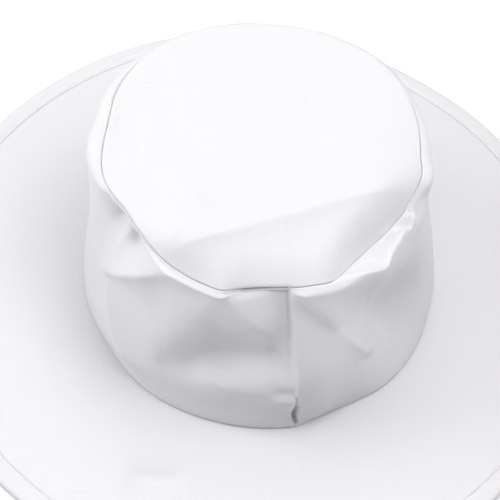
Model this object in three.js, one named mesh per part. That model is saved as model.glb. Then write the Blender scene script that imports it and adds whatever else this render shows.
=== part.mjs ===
import * as THREE from "three";

// Sizes are in millimetres. Azimuths are in degrees, counted from +X towards +Y.
// The hat rests on z = 0 with its opening down, and the vertical seam faces -Y.

// Brim and hem
const RIM_RADIUS = 180;
const HEM_WIDTH = 10;
const HEM_THICKNESS = 1.1;
const HEM_EDGE_THICKNESS = 1.9;
const HEM_FLAT_WIDTH = 3.4;
const HEM_FLAT_INSET = 2.6;
const BRIM_THICKNESS = 2.0;
const BRIM_THICKNESS_IN_HEM = 1.0;
const BRIM_STEP_WIDTH = 1.5;
const BRIM_RIM_HEIGHT = 1.95;
const BRIM_RIM_SLOPE_SHARE = 0.85;
const COLLAR_THICKNESS = 1.2;
const COLLAR_HEIGHT = 2.5;

// Crown
const CROWN_BASE_RADIUS = 95;
const CROWN_BASE_CENTRE = { x: 5.4, y: 1.5, z: 15.3 };
const CROWN_BASE_TILT = { x: -0.014, y: 0.038 };
const TOP_SEAM_RADIUS = 80.6;
const TOP_SEAM_CENTRE = { x: 1.9, y: 0.5, z: 126.6 };
const TOP_SEAM_TILT = { x: 0.019, y: 0.057 };
const BAND_THICKNESS = 1.5;
const TIP_THICKNESS = 1.4;
const TIP_RISE = 2.5;
const TIP_EDGE_ROUNDING = 2.4;
const TIP_EDGE_FLAT = 1.5;
const TIP_DROP_POWER = 4;
const TIP_FACET_WIDTH = 13;
const SHOULDER_EDGE_PULL = 0.5;
const SHOULDER_SEAM_PULL = 0.3;
const SEAM_ROUNDING = 1.7;
const SEAM_ALLOWANCE = 3;
const SEAM_BACKING = 3.6;
const FULL_ROLL = 6;
const ROLL_DROP = 1.5;
const ROLL_DROP_SHARE = 0.6;
const SEAM_AZIMUTH = -75.5;
const SEAM_GROOVE_DEPTH = 0.8;
const SEAM_GROOVE_SPAN = 0.8;

// Clearances between neighbouring pieces
const GAP = 0.3;
const COLLAR_GAP = 0.8;

// How finely the surfaces are divided
const FRONT_STEPS = 46;
const BACK_STEPS = 24;
const BRIM_STEPS = 68;
const WALL_ROWS = [0, 0.05, 0.15, 0.25, 0.35, 0.45, 0.55, 0.65, 0.76, 0.88, 1];
const ROLL_ROWS = [0.3, 0.65, 1];
const TIP_RINGS = [0.24, 0.46, 0.66, 0.82, 0.94, 1];
const TIP_LOWER_RINGS = [0.94, 0.82, 0.46, 0.24];
const BRIM_RINGS = [0.1, 0.5];

// Outline of the rim: how far it stands out of its circle
const RIM_OUTLINE = [
  { az: -135, out: -1.0 },
  { az: -90, out: 0 },
  { az: -60, out: 1.0 },
  { az: -41, out: 2.0 },
  { az: -20, out: 0.6 },
  { az: 0, out: 0 },
  { az: 45, out: -1.4 },
  { az: 58, out: -2.2 },
  { az: 75, out: -0.6 },
  { az: 90, out: 0 },
  { az: 110, out: 0.7 },
  { az: 135, out: -0.5 },
  { az: 180, out: 0 },
];

// Outline of the seam between crown and brim
const BASE_OUTLINE = [
  { az: -166, out: 0.2 },
  { az: -146, out: -1.3 },
  { az: -127, out: 0.6 },
  { az: -100, out: 0.4 },
  { az: -80, out: 1.0 },
  { az: -75, out: 1.1 },
  { az: -69, out: -0.9 },
  { az: -62, out: -2.1 },
  { az: -54, out: -1.6 },
  { az: -42, out: 0.5 },
  { az: -22, out: 0.4 },
  { az: -12, out: -0.7 },
  { az: 5, out: 0.7 },
  { az: 50, out: 0.4 },
  { az: 90, out: -0.6 },
  { az: 135, out: 0.5 },
  { az: 180, out: -0.2 },
];

// The seam between crown top and side: how far it stands out of its circle, how far it
// sinks below its plane, how wide the shoulder of the side band rolls outside it, how far
// the shoulder rises above it, and how much of the sinking is a steep dip at the edge
const TOP_SEAM_OUTLINE = [
  { az: -177, out: 0, down: 0, roll: 9, rise: 0, dip: 0 },
  { az: -165, out: 0.4, down: 0, roll: 5.5, rise: 0, dip: 0 },
  { az: -157, out: -1.5, down: 0.2, roll: 2.5, rise: 0, dip: 0 },
  { az: -150, out: -4.8, down: 0.5, roll: 1.2, rise: 0, dip: 0 },
  { az: -141, out: -4.6, down: 1.2, roll: 1, rise: 0, dip: 0 },
  { az: -134, out: -3.6, down: 2.5, roll: 0.9, rise: 0, dip: 0.5 },
  { az: -126, out: -2.4, down: 4.2, roll: 1, rise: 0, dip: 1 },
  { az: -117, out: -2, down: 6, roll: 1.4, rise: 0, dip: 1.5 },
  { az: -109, out: -1.8, down: 7.2, roll: 1.8, rise: 0, dip: 1.5 },
  { az: -101, out: -2, down: 8, roll: 1.8, rise: 0, dip: 1.5 },
  { az: -97, out: -4.6, down: 9, roll: 0.6, rise: 0, dip: 2.5 },
  { az: -93, out: -6.6, down: 9.6, roll: 0, rise: 0, dip: 3 },
  { az: -86, out: -7.8, down: 9.8, roll: 0, rise: 0, dip: 3 },
  { az: -77, out: -6.8, down: 9.4, roll: 0, rise: 0, dip: 3 },
  { az: -73, out: -5, down: 8.4, roll: 2.8, rise: 0, dip: 2.5 },
  { az: -67, out: -3.5, down: 7.5, roll: 4.2, rise: 0, dip: 2 },
  { az: -61, out: -2, down: 7.4, roll: 4.6, rise: 0, dip: 3 },
  { az: -55, out: -4.2, down: 8.5, roll: 8, rise: 3, dip: 5 },
  { az: -49, out: -7, down: 10.5, roll: 12, rise: 7, dip: 8 },
  { az: -41, out: -8.6, down: 12, roll: 15.5, rise: 9.5, dip: 10 },
  { az: -36, out: -8.4, down: 12.2, roll: 13.5, rise: 9.5, dip: 10.5 },
  { az: -31, out: -7.4, down: 12, roll: 12, rise: 9, dip: 10.5 },
  { az: -25, out: -6, down: 11.5, roll: 10.5, rise: 8, dip: 9.5 },
  { az: -20, out: -4.2, down: 10, roll: 9, rise: 6, dip: 8.5 },
  { az: -17, out: -3, down: 8.8, roll: 6, rise: 3, dip: 7.5 },
  { az: -14, out: -1.4, down: 7, roll: 4.5, rise: 0.5, dip: 6 },
  { az: -11.5, out: 0, down: 5, roll: 6.5, rise: 1.5, dip: 4 },
  { az: -9, out: 0.8, down: 3.8, roll: 8.5, rise: 2.5, dip: 3 },
  { az: -5, out: 1.5, down: 2, roll: 7.5, rise: 1, dip: 1.5 },
  { az: 3, out: 0.6, down: 0, roll: 6, rise: 0, dip: 0 },
  { az: 22, out: 1.6, down: 0, roll: 5, rise: 0, dip: 0 },
  { az: 40, out: 1.8, down: 0, roll: 5, rise: 0, dip: 0 },
  { az: 62, out: -0.5, down: 0, roll: 5, rise: 0, dip: 0 },
  { az: 85, out: -3.6, down: 0, roll: 6, rise: 0, dip: 0 },
  { az: 102, out: -1.7, down: 0, roll: 5, rise: 0, dip: 0 },
  { az: 130, out: 0.5, down: 0, roll: 6, rise: 0, dip: 0 },
  { az: 152, out: 3.6, down: 0, roll: 6, rise: 0, dip: 0 },
  { az: 170, out: -0.2, down: 0, roll: 9, rise: 0, dip: 0 },
];

// Sections of the side band: how far the cloth is from the crown's axis at each of the
// section heights
const SECTION_HEIGHTS = { r25: 25, r38: 38, r46: 46, r54: 54, r63: 63, r75: 75, r92: 92, r109: 109 };
const WALL_SECTIONS = [
  { az: -178, r25: 95, r38: 93.7, r46: 92.6, r54: 91.4, r63: 90.2, r75: 89.3, r92: 89, r109: 88.8 },
  { az: -165, r25: 94.5, r38: 92.4, r46: 91.1, r54: 89.9, r63: 88.7, r75: 87.8, r92: 87.2, r109: 86 },
  { az: -156, r25: 94, r38: 91.4, r46: 89.8, r54: 88.4, r63: 87, r75: 85.5, r92: 83.7, r109: 82 },
  { az: -148, r25: 94, r38: 91.4, r46: 89.8, r54: 88.4, r63: 87.2, r75: 86.5, r92: 85.3, r109: 79 },
  { az: -140, r25: 94, r38: 92, r46: 90.6, r54: 89.4, r63: 88, r75: 86.8, r92: 87, r109: 79.5 },
  { az: -132, r25: 94.5, r38: 92.8, r46: 91.6, r54: 90.4, r63: 89, r75: 87.5, r92: 86.6, r109: 81.5 },
  { az: -124, r25: 94.5, r38: 93.3, r46: 92.4, r54: 91.6, r63: 90.7, r75: 89.2, r92: 85.7, r109: 81 },
  { az: -117, r25: 94, r38: 92.3, r46: 90, r54: 89.5, r63: 90, r75: 90, r92: 86.2, r109: 81 },
  { az: -110, r25: 93.5, r38: 91.8, r46: 87.5, r54: 85, r63: 86, r75: 87.5, r92: 85.5, r109: 80.8 },
  { az: -104, r25: 93.5, r38: 92.3, r46: 89, r54: 82.5, r63: 81.5, r75: 83.5, r92: 84, r109: 80.5 },
  { az: -98, r25: 93.5, r38: 92.5, r46: 90, r54: 82, r63: 79.5, r75: 80.5, r92: 83.5, r109: 78.5 },
  { az: -92, r25: 94, r38: 92.8, r46: 91, r54: 86, r63: 79.5, r75: 80, r92: 82.5, r109: 75.5 },
  { az: -86, r25: 94.5, r38: 93.3, r46: 91.8, r54: 87, r63: 80, r75: 80, r92: 80.5, r109: 73.5 },
  { az: -80, r25: 95, r38: 94, r46: 92.5, r54: 88.5, r63: 82.5, r75: 81.5, r92: 78.5, r109: 73.3 },
  { az: -74.5, r25: 96, r38: 96.6, r46: 96.6, r54: 96, r63: 94, r75: 90, r92: 84.5, r109: 78 },
  { az: -68, r25: 97, r38: 98.5, r46: 99, r54: 98.8, r63: 97.5, r75: 93.5, r92: 87, r109: 81.5 },
  { az: -62, r25: 95.3, r38: 96.3, r46: 96.8, r54: 96.5, r63: 95.3, r75: 92.5, r92: 88.3, r109: 83.5 },
  { az: -56, r25: 94, r38: 94, r46: 93.8, r54: 92.8, r63: 91.3, r75: 88.3, r92: 83.5, r109: 83.5 },
  { az: -50, r25: 93, r38: 91.5, r46: 90.5, r54: 89, r63: 87, r75: 83.5, r92: 80, r109: 84 },
  { az: -44, r25: 92, r38: 87.5, r46: 85.5, r54: 83.3, r63: 80.8, r75: 78, r92: 79.5, r109: 85 },
  { az: -38, r25: 90.8, r38: 84.5, r46: 80.5, r54: 77.5, r63: 76.2, r75: 77, r92: 81.5, r109: 86 },
  { az: -32, r25: 90.5, r38: 82.7, r46: 78.8, r54: 76.4, r63: 75.6, r75: 77.5, r92: 82.5, r109: 85.5 },
  { az: -26, r25: 91.5, r38: 85.5, r46: 82, r54: 79.7, r63: 78.7, r75: 80, r92: 83.8, r109: 85 },
  { az: -20, r25: 93, r38: 89, r46: 86.7, r54: 85.2, r63: 84.4, r75: 84.6, r92: 85, r109: 85 },
  { az: -14, r25: 94.5, r38: 92.2, r46: 91, r54: 90, r63: 89.5, r75: 89.3, r92: 87.5, r109: 86 },
  { az: -6, r25: 95, r38: 93.6, r46: 92.9, r54: 92.3, r63: 91.6, r75: 90.4, r92: 88, r109: 86.5 },
  { az: 20, r25: 95, r38: 94.1, r46: 93, r54: 91.9, r63: 90.4, r75: 88.6, r92: 87.2, r109: 87 },
  { az: 60, r25: 95, r38: 94.1, r46: 92.8, r54: 91.2, r63: 89.2, r75: 86.8, r92: 85.2, r109: 85 },
  { az: 85, r25: 94.5, r38: 93.2, r46: 91.8, r54: 90.2, r63: 88, r75: 85.2, r92: 83.2, r109: 83 },
  { az: 110, r25: 95, r38: 94.1, r46: 93.1, r54: 91.7, r63: 89.7, r75: 87.1, r92: 85.2, r109: 84.8 },
  { az: 145, r25: 95, r38: 94.6, r46: 93.6, r54: 92.6, r63: 91.5, r75: 90.1, r92: 89.5, r109: 89.5 },
];

// Folds and dents of the side band. Each runs from az0, z0 to az1, z1 with its middle
// bowed sideways, stands out (or in, if negative) at its line and fades to the left and
// right of it, as seen from outside by someone walking from its first end to its second.
const WALL_FOLDS = [
  { az0: -158, z0: 60, az1: -119, z1: 117, bow: 5, out: 4.8, left: 8, right: 5.5 },
  { az0: -128, z0: 20, az1: -151, z1: 64, bow: 2, out: 4, left: 14, right: 7 },
  { az0: -152, z0: 119, az1: -148, z1: 109, bow: 0, out: -5, left: 5, right: 4 },
  { az0: -138, z0: 119, az1: -135, z1: 110, bow: 0, out: -4.5, left: 4, right: 3 },
  { az0: -102, z0: 113, az1: -77, z1: 66, bow: 4, out: 2.2, left: 8, right: 8 },
  { az0: -73, z0: 116, az1: -44, z1: 37, bow: 2, out: 3.6, left: 9, right: 5 },
  { az0: -73, z0: 112, az1: -57, z1: 78, bow: 0, out: -2.4, left: 3.5, right: 6 },
  { az0: 2, z0: 90, az1: 40, z1: 84, bow: 4, out: -2.5, left: 12, right: 12 },
  { az0: 44, z0: 108, az1: 62, z1: 44, bow: 5, out: 2.2, left: 12, right: 16 },
  { az0: 74, z0: 58, az1: 112, z1: 74, bow: 6, out: -3, left: 16, right: 12 },
  { az0: 118, z0: 100, az1: 134, z1: 40, bow: -4, out: 2.2, left: 12, right: 14 },
  { az0: 146, z0: 98, az1: 176, z1: 92, bow: 3, out: -1.6, left: 10, right: 14 },
];

// Folds of the crown top, from x0, y0 to x1, y1, with up in place of out
const TIP_FOLDS = [
  { x0: -62, y0: -82, x1: 92, y1: -16, bow: 0, up: 4.2, left: 22, right: 9 },
  { x0: -38, y0: -58, x1: -20, y1: -22, bow: 4, up: 2.2, left: 8, right: 14 },
  { x0: -60, y0: -44, x1: -40, y1: -28, bow: 0, up: -1.8, left: 10, right: 12 },
  { x0: -78, y0: 14, x1: -60, y1: 12, bow: 0, up: -1.6, left: 8, right: 8 },
  { x0: -52, y0: -8, x1: -22, y1: 46, bow: 6, up: -0.9, left: 20, right: 20 },
  { x0: 34, y0: 20, x1: 70, y1: 4, bow: 0, up: 0.8, left: 18, right: 14 },
];

// Slow waves of the brim, in the same columns
const BRIM_FOLDS = [
  { x0: -50, y0: -122, x1: -26, y1: -124, bow: 0, up: -0.7, left: 5, right: 7 },
  { x0: -120, y0: -90, x1: -150, y1: -20, bow: -8, up: 0.8, left: 18, right: 18 },
  { x0: 110, y0: -70, x1: 150, y1: 0, bow: -8, up: -0.7, left: 20, right: 20 },
  { x0: -60, y0: 130, x1: 60, y1: 136, bow: 6, up: 0.8, left: 16, right: 16 },
];

const FOLD_SOFTNESS = 2;
const FOLD_FREE_HEIGHT = 6;
const FOLD_FULL_HEIGHT = 20;

const FABRIC_WHITE = 0xeeeef3;

const rad = THREE.MathUtils.degToRad;
const mix = THREE.MathUtils.lerp;
const clamp = THREE.MathUtils.clamp;
const smooth = THREE.MathUtils.smoothstep;

// Degrees from 0 up to 360
function turn(degrees) {
  return ((degrees % 360) + 360) % 360;
}

// Degrees from -180 up to 180
function signedTurn(degrees) {
  return turn(degrees + 180) - 180;
}

// A smooth closed curve through one column of an outline table
function around(rows, column) {
  const sorted = [...rows].sort((a, b) => a.az - b.az);
  const count = sorted.length;
  const slopes = sorted.map((row, i) => {
    const before = sorted[(i + count - 1) % count];
    const after = sorted[(i + 1) % count];
    return (after[column] - before[column]) / turn(after.az - before.az);
  });
  return (az) => {
    let i = sorted.findIndex((row) => row.az > signedTurn(az)) - 1;
    if (i < 0) {
      i = sorted[0].az > signedTurn(az) ? count - 1 : i;
    }
    i = (i + count) % count;
    if (signedTurn(az) >= sorted[count - 1].az) {
      i = count - 1;
    }
    const from = sorted[i];
    const to = sorted[(i + 1) % count];
    const span = turn(to.az - from.az);
    const t = turn(az - from.az) / span;
    const tt = t * t;
    const ttt = tt * t;
    return (
      from[column] * (2 * ttt - 3 * tt + 1) +
      to[column] * (3 * tt - 2 * ttt) +
      span * slopes[i] * (ttt - 2 * tt + t) +
      span * slopes[(i + 1) % count] * (ttt - tt)
    );
  };
}

// A smooth line through the radii at rising heights, read at the height z
function through(heights, radii, z) {
  const last = heights.length - 1;
  const slopes = heights.map((height, i) => {
    const before = Math.max(i - 1, 0);
    const after = Math.min(i + 1, last);
    return i === 0 ? 0 : (radii[after] - radii[before]) / (heights[after] - heights[before]);
  });
  const above = heights.findIndex((height, i) => i > 0 && height > z);
  const j = above < 0 ? last : above;
  const i = j - 1;
  const span = heights[j] - heights[i];
  const t = (z - heights[i]) / span;
  const tt = t * t;
  const ttt = tt * t;
  return (
    radii[i] * (2 * ttt - 3 * tt + 1) +
    radii[j] * (3 * tt - 2 * ttt) +
    span * slopes[i] * (ttt - 2 * tt + t) +
    span * slopes[j] * (ttt - tt)
  );
}

// Height of one fold at x, y on a flat pattern
function foldAt(x, y, x0, y0, x1, y1, bow, height, left, right) {
  const length = Math.hypot(x1 - x0, y1 - y0);
  const ux = (x1 - x0) / length;
  const uy = (y1 - y0) / length;
  const share = ((x - x0) * ux + (y - y0) * uy) / length;
  const sideways = bow * (1 - (2 * share - 1) ** 2);
  const across = (y - y0) * ux - (x - x0) * uy - sideways;
  const reach = across > 0 ? left : right;
  const ends = smooth(share, -0.15, 0.3) * (1 - smooth(share, 0.7, 1.15));
  const fall = (Math.hypot(across, FOLD_SOFTNESS) - FOLD_SOFTNESS) / reach;
  return height * ends * Math.exp(-fall);
}

function planFolds(rows, x, y) {
  return rows.reduce(
    (sum, f) =>
      sum + foldAt(x, y, f.x0, f.y0, f.x1, f.y1, f.bow, f.up, f.left, f.right),
    0,
  );
}

const rimOut = around(RIM_OUTLINE, "out");
const baseOut = around(BASE_OUTLINE, "out");
const seamOut = around(TOP_SEAM_OUTLINE, "out");
const seamDown = around(TOP_SEAM_OUTLINE, "down");
const seamRoll = around(TOP_SEAM_OUTLINE, "roll");
const seamRise = around(TOP_SEAM_OUTLINE, "rise");
const seamDip = around(TOP_SEAM_OUTLINE, "dip");
const sectionHeights = Object.values(SECTION_HEIGHTS);
const sectionRadii = Object.keys(SECTION_HEIGHTS).map((key) => around(WALL_SECTIONS, key));

const rimRadius = (az) => RIM_RADIUS + rimOut(az);
const baseRadius = (az) => CROWN_BASE_RADIUS + baseOut(az);
const seamRadius = (az) => TOP_SEAM_RADIUS + seamOut(az);

function planeHeight(radius, az, centre, tilt) {
  const dx = radius * Math.cos(rad(az));
  const dy = radius * Math.sin(rad(az));
  return centre.z + tilt.x * dx + tilt.y * dy;
}

function baseHeight(az) {
  return planeHeight(baseRadius(az), az, CROWN_BASE_CENTRE, CROWN_BASE_TILT);
}

function seamHeight(az) {
  const level = planeHeight(seamRadius(az), az, TOP_SEAM_CENTRE, TOP_SEAM_TILT);
  return level - seamDown(az);
}

// Sum of the side band's folds at an azimuth and height
function wallFolds(az, z) {
  const arc = rad(1) * (CROWN_BASE_RADIUS - 5);
  const folds = WALL_FOLDS.reduce((sum, f) => {
    const x = signedTurn(az - f.az0) * arc;
    const x1 = signedTurn(f.az1 - f.az0) * arc;
    return sum + foldAt(x, z, 0, f.z0, x1, f.z1, f.bow, f.out, f.left, f.right);
  }, 0);
  const lift = z - baseHeight(az);
  return folds * smooth(lift, FOLD_FREE_HEIGHT, FOLD_FULL_HEIGHT);
}

// The two sides of the top seam turn inwards together. Where the shoulder rolls wide
// they point down, and where it has no roll they point at the middle of the crown.
function seamFrame(az) {
  const r = seamRadius(az);
  const z = seamHeight(az);
  const wide = Math.max(0.2, seamRoll(az));
  const turnIn = rad(90) * (1 - clamp(wide / FULL_ROLL, 0, 1));
  return {
    r,
    z,
    wide,
    rise: Math.max(0, seamRise(az)),
    turnIn,
    inR: -Math.sin(turnIn),
    inZ: -Math.cos(turnIn),
    outR: Math.cos(turnIn),
    outZ: -Math.sin(turnIn),
  };
}

// Points of the rounded edge beside the seam, from the seam allowance's end to the
// outer surface; side is 1 for the band and -1 for the top
function seamEdge(frame, side, angles) {
  const { r, z, inR, inZ, outR, outZ } = frame;
  const at = (along, beside) => [
    r + inR * along + side * outR * beside,
    z + inZ * along + side * outZ * beside,
  ];
  const points = [at(SEAM_ROUNDING + SEAM_ALLOWANCE, GAP / 2)];
  for (const degrees of angles) {
    const along = SEAM_ROUNDING * (1 - Math.sin(rad(degrees)));
    const beside = GAP / 2 + SEAM_ROUNDING * (1 - Math.cos(rad(degrees)));
    points.push(at(along, beside));
  }
  return points;
}

// The same polyline, moved by a thickness to its right-hand side
function offset(points, thickness) {
  return points.map((point, i) => {
    const before = points[Math.max(i - 1, 0)];
    const after = points[Math.min(i + 1, points.length - 1)];
    const dr = after[0] - before[0];
    const dz = after[1] - before[1];
    const length = Math.hypot(dr, dz);
    return [
      point[0] + (dz / length) * thickness,
      point[1] - (dr / length) * thickness,
    ];
  });
}

// Outer radius of the side band at a share of its height, without the shoulder
function wallPoint(az, share, frame) {
  const low = baseHeight(az) + GAP;
  const high = frame.z + frame.rise - ROLL_DROP - ROLL_DROP_SHARE * frame.wide;
  const z = mix(low, high, share);
  const radii = [baseRadius(az), ...sectionRadii.map((radius) => radius(az))];
  radii.push(frame.r + seamRoll(az));
  const plain = through([low, ...sectionHeights, high], radii, z);
  const offSeam = Math.abs(signedTurn(az - SEAM_AZIMUTH)) / SEAM_GROOVE_SPAN;
  const groove = SEAM_GROOVE_DEPTH * Math.max(0, 1 - offSeam) * smooth(share, 0, 0.05);
  const least = frame.r + mix(0.2, SEAM_BACKING, clamp(frame.wide / FULL_ROLL, 0, 1));
  return [Math.max(least, plain + wallFolds(az, z)) - groove, z];
}

// Half section of the side band, as a closed loop of radius and height
function bandSection(az) {
  const frame = seamFrame(az);
  const wall = WALL_ROWS.map((share) => wallPoint(az, share, frame));
  const foot = wall[wall.length - 1];
  const below = wall[wall.length - 2];
  const edge = seamEdge(frame, 1, [0, 45, 90]).reverse();
  const top = edge[0];
  const span = Math.hypot(top[0] - foot[0], top[1] - foot[1]);
  const rise = Math.hypot(foot[0] - below[0], foot[1] - below[1]);
  const pull = 0.42 * span;
  const c1 = [
    foot[0] + ((foot[0] - below[0]) / rise) * pull,
    foot[1] + ((foot[1] - below[1]) / rise) * pull + SHOULDER_EDGE_PULL * frame.rise,
  ];
  const c2 = [
    top[0] + frame.outR * pull,
    top[1] + frame.outZ * pull + SHOULDER_SEAM_PULL * frame.rise,
  ];
  const curve = new THREE.CubicBezierCurve(
    new THREE.Vector2(...foot),
    new THREE.Vector2(...c1),
    new THREE.Vector2(...c2),
    new THREE.Vector2(...top),
  );
  const roll = ROLL_ROWS.map((t) => curve.getPoint(t).toArray());
  const outer = [...wall, ...roll, ...edge.slice(1)];
  const inner = offset(outer, -BAND_THICKNESS);
  return [...outer, ...inner.reverse()];
}

// Level of the crown top at a share of the way from its middle to its edge
function tipPoint(az, share, edge) {
  const x = share * edge[0] * Math.cos(rad(az));
  const y = share * edge[0] * Math.sin(rad(az));
  const { z } = TOP_SEAM_CENTRE;
  const plane = z + TOP_SEAM_TILT.x * x + TOP_SEAM_TILT.y * y;
  const edgePlane = planeHeight(edge[0], az, TOP_SEAM_CENTRE, TOP_SEAM_TILT);
  const dome = TIP_RISE * (1 - share ** 2);
  const folds = planFolds(TIP_FOLDS, x, y) * (1 - share ** 8);
  const dip = Math.max(0, seamDip(az));
  const sunk = edge[1] - edgePlane + dip;
  const facet = Math.max(0, 1 - (edge[0] * (1 - share)) / TIP_FACET_WIDTH);
  const drop = sunk * share ** TIP_DROP_POWER - dip * facet;
  return [share * edge[0], plane + dome + folds + drop];
}

// Half section of the crown top, from its middle inside to its middle outside
function tipSection(az) {
  const frame = seamFrame(az);
  const seam = seamEdge(frame, -1, [0, 45, 90]).reverse();
  const start = seam[0];
  const dip = Math.max(0, seamDip(az));
  const domed = (TIP_DROP_POWER * (seamDown(az) - dip)) / TOP_SEAM_RADIUS;
  const fall = domed + dip / TIP_FACET_WIDTH;
  const lean = Math.min(frame.turnIn, Math.atan(fall));
  const steep = clamp(fall - Math.tan(Math.min(frame.turnIn, 1.2)), 0, 1.5);
  const rounding = [1, 0.5].map((share) => {
    const left = mix(frame.turnIn, lean, share);
    const inwards = TIP_EDGE_ROUNDING * (Math.sin(frame.turnIn) - Math.sin(left));
    const upwards = TIP_EDGE_ROUNDING * (Math.cos(left) - Math.cos(frame.turnIn));
    const flat = share * TIP_EDGE_FLAT;
    return [start[0] - inwards - flat, start[1] + upwards + flat * steep];
  });
  const inset = TIP_EDGE_FLAT;
  const edge = [rounding[0][0] - inset, rounding[0][1]];
  const top = TIP_RINGS.map((share) => tipPoint(az, share, edge));
  const outer = [[0, tipPoint(az, 0, edge)[1]], ...top, ...rounding, ...seam];
  const inner = offset(outer, TIP_THICKNESS);
  inner[0] = [0, outer[0][1] - TIP_THICKNESS];
  const under = inner.filter((point, i) => {
    const isRing = i > 0 && i <= TIP_RINGS.length;
    return !isRing || TIP_LOWER_RINGS.includes(TIP_RINGS[i - 1]);
  });
  return [...under, ...outer.reverse()];
}

// Middle surface of the brim, from the hem inwards to the crown
function brimMiddle(az, r) {
  const edge = rimRadius(az) - HEM_EDGE_THICKNESS - GAP;
  const share = (edge - r) / (edge - baseRadius(az));
  const rise = baseHeight(az) - BRIM_THICKNESS / 2 - BRIM_RIM_HEIGHT;
  const slope = BRIM_RIM_SLOPE_SHARE;
  const x = r * Math.cos(rad(az));
  const y = r * Math.sin(rad(az));
  const free = smooth(share, 0.15, 0.35) * (1 - smooth(share, 0.75, 0.95));
  const lift = planFolds(BRIM_FOLDS, x, y) * free;
  return BRIM_RIM_HEIGHT + rise * (slope * share + (1 - slope) * share ** 2) + lift;
}

// Half section of the brim, as a closed loop of radius and height
function brimSection(az) {
  const base = baseRadius(az);
  const edge = rimRadius(az) - HEM_EDGE_THICKNESS - GAP;
  const hemStart = rimRadius(az) - HEM_WIDTH - GAP;
  const full = BRIM_THICKNESS / 2;
  const thin = BRIM_THICKNESS_IN_HEM / 2;
  const collarOut = base - BAND_THICKNESS - COLLAR_GAP;
  const collarIn = collarOut - COLLAR_THICKNESS;
  const top = baseHeight(az);
  const radii = BRIM_RINGS.map((share) => mix(base, hemStart - BRIM_STEP_WIDTH, share));
  radii.push(hemStart - BRIM_STEP_WIDTH);
  const upper = radii.map((r) => [r, brimMiddle(az, r) + full]);
  const lower = radii.map((r) => [r, brimMiddle(az, r) - full]);
  return [
    [collarIn, top + COLLAR_HEIGHT],
    [collarIn, top - BRIM_THICKNESS - 1],
    ...lower,
    [hemStart, brimMiddle(az, hemStart) - thin],
    [edge, BRIM_RIM_HEIGHT - thin],
    [edge, BRIM_RIM_HEIGHT + thin],
    [hemStart, brimMiddle(az, hemStart) + thin],
    ...upper.reverse(),
    [collarOut, top],
    [collarOut, top + COLLAR_HEIGHT],
  ];
}

// Half section of the folded hem, as a closed loop of radius and height
function hemSection(az) {
  const rim = rimRadius(az);
  const inside = rim - HEM_EDGE_THICKNESS;
  const start = rim - HEM_WIDTH;
  const near = BRIM_THICKNESS_IN_HEM / 2 + GAP;
  const far = near + HEM_THICKNESS;
  const middle = BRIM_RIM_HEIGHT;
  const shoulder = rim - HEM_FLAT_INSET - 1;
  return [
    [start, brimMiddle(az, start) - far],
    [rim - HEM_FLAT_INSET - HEM_FLAT_WIDTH, 0],
    [rim - HEM_FLAT_INSET, 0],
    [rim - 0.8, 0.5],
    [rim, middle],
    [rim - 0.8, middle + far - 0.4],
    [shoulder, brimMiddle(az, shoulder) + far],
    [start, brimMiddle(az, start) + far],
    [start, brimMiddle(az, start) + near],
    [inside, middle + near],
    [inside, middle - near],
    [start, brimMiddle(az, start) - near],
  ];
}

// Azimuths of the crown's sections, closer together at the front and at the seam
function crownAzimuths() {
  const list = [];
  for (let i = 0; i < FRONT_STEPS; i += 1) {
    list.push(-180 + (i * 180) / FRONT_STEPS);
  }
  for (let i = 0; i < BACK_STEPS; i += 1) {
    list.push((i * 180) / BACK_STEPS);
  }
  const clear = list.filter((az) => Math.abs(az - SEAM_AZIMUTH) > 1.2);
  for (const share of [-1.6, -1, 0, 1, 1.6]) {
    clear.push(SEAM_AZIMUTH + share * SEAM_GROOVE_SPAN);
  }
  return clear.sort((a, b) => a - b);
}

function brimAzimuths() {
  return Array.from({ length: BRIM_STEPS }, (_, i) => -180 + (i * 360) / BRIM_STEPS);
}

// Places a point of a crown section round the crown's leaning axis
function crownPlace(az, [r, z]) {
  const share = (z - CROWN_BASE_CENTRE.z) / (TOP_SEAM_CENTRE.z - CROWN_BASE_CENTRE.z);
  const cx = mix(CROWN_BASE_CENTRE.x, TOP_SEAM_CENTRE.x, share);
  const cy = mix(CROWN_BASE_CENTRE.y, TOP_SEAM_CENTRE.y, share);
  return [cx + r * Math.cos(rad(az)), cy + r * Math.sin(rad(az)), z];
}

// Places a point of a brim section: round the crown's foot near it, round the origin
// at the rim
function brimPlace(az, [r, z]) {
  const share = clamp((rimRadius(az) - r) / (rimRadius(az) - baseRadius(az)), 0, 1.05);
  const cx = CROWN_BASE_CENTRE.x * Math.min(share, 1);
  const cy = CROWN_BASE_CENTRE.y * Math.min(share, 1);
  return [cx + r * Math.cos(rad(az)), cy + r * Math.sin(rad(az)), z];
}

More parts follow.
